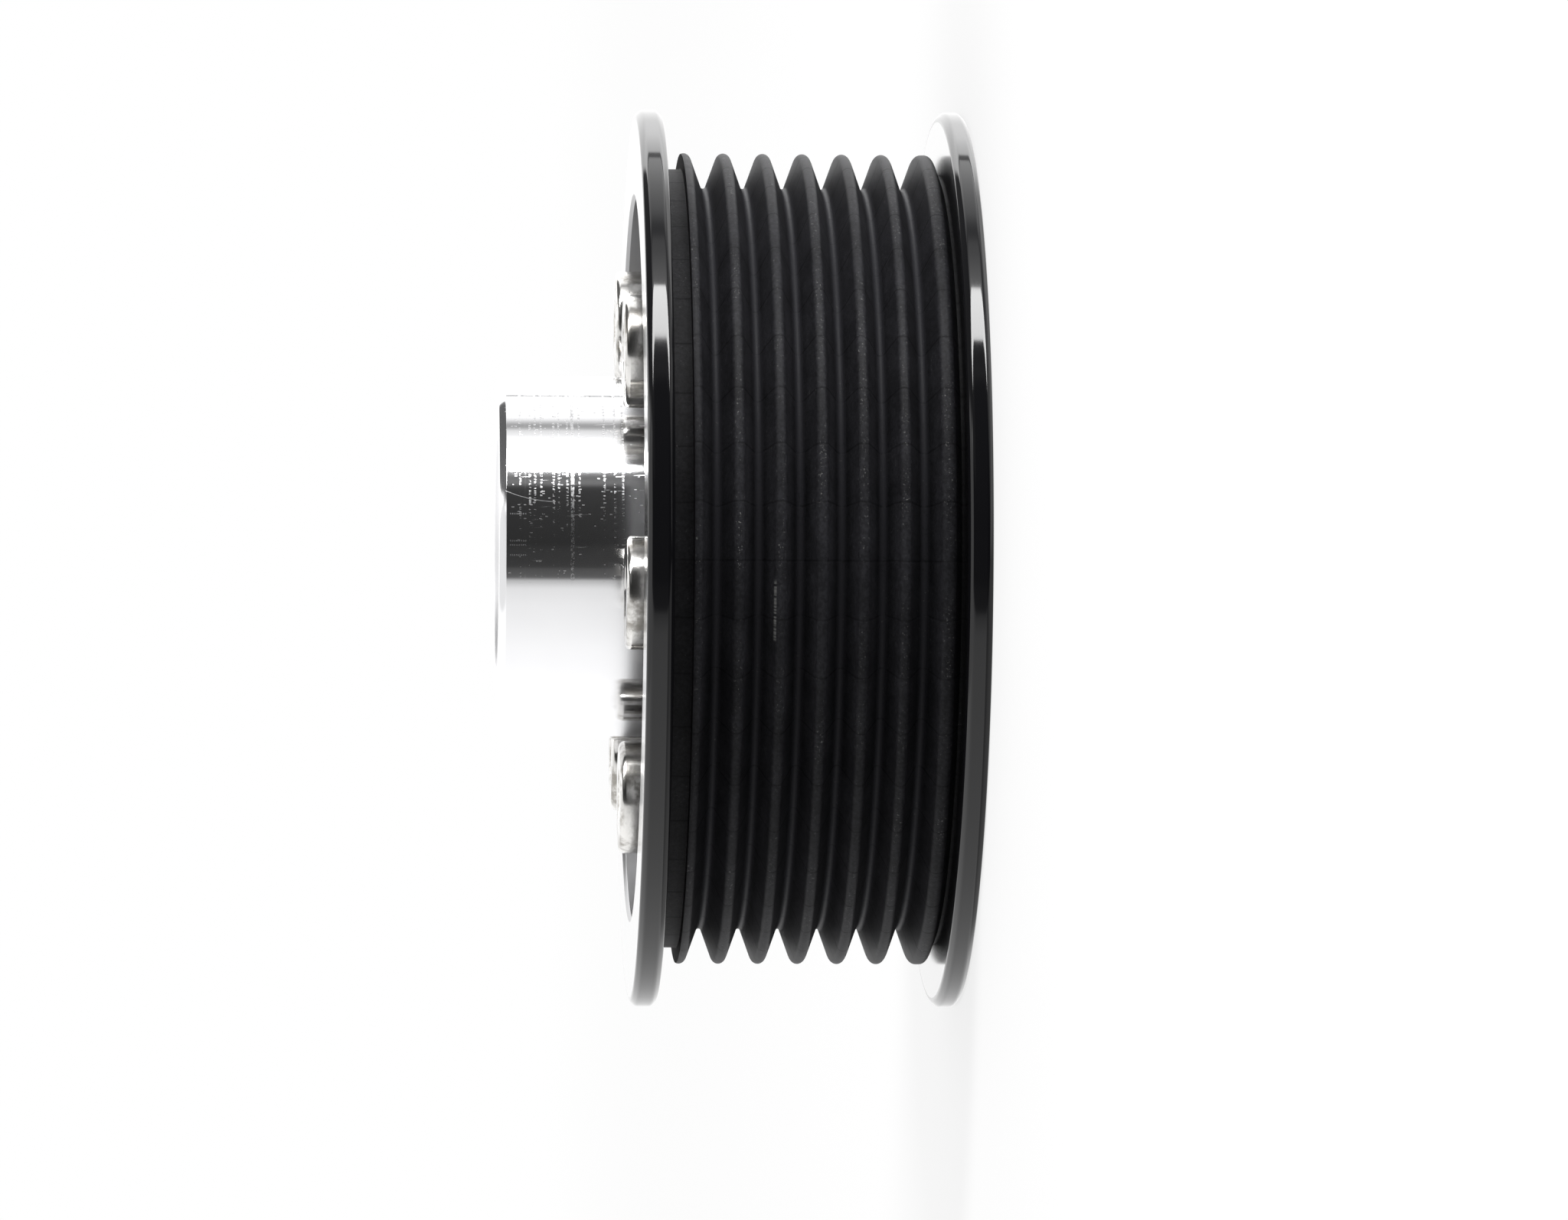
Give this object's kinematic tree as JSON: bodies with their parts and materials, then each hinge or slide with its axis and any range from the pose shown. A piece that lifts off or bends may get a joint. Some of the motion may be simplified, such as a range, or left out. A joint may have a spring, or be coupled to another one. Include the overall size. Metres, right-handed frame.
{
  "type": "ribbed belt pulley",
  "caption": "Ribbed belt drive pulley: black grooved ring between two flanges, bolted to a bright bored hub whose boss stands out of the front face.",
  "frame": {"origin": "on the pulley's axis, in the plane of the rear flange's outer face, on which it stands", "axes": "+Z along the axis from the rear flange towards the boss; a screw lies 7.5 degrees from -Y"},
  "size_m": [0.0808, 0.0808, 0.0415],
  "materials": {
    "black_anodised": "black anodised, glossy flange rims, fine matt blasted grooves",
    "turned_aluminium": "bright turned, with fine rings from the tool",
    "plated_steel": "bright plated, worn"
  },
  "bodies": {
    "root": {"pulley_ring": "black_anodised", "hub": "turned_aluminium", "cap_screw_1": "plated_steel", "cap_screw_2": "plated_steel", "cap_screw_3": "plated_steel", "cap_screw_4": "plated_steel", "cap_screw_5": "plated_steel", "cap_screw_6": "plated_steel"}
  },
  "joints": []
}
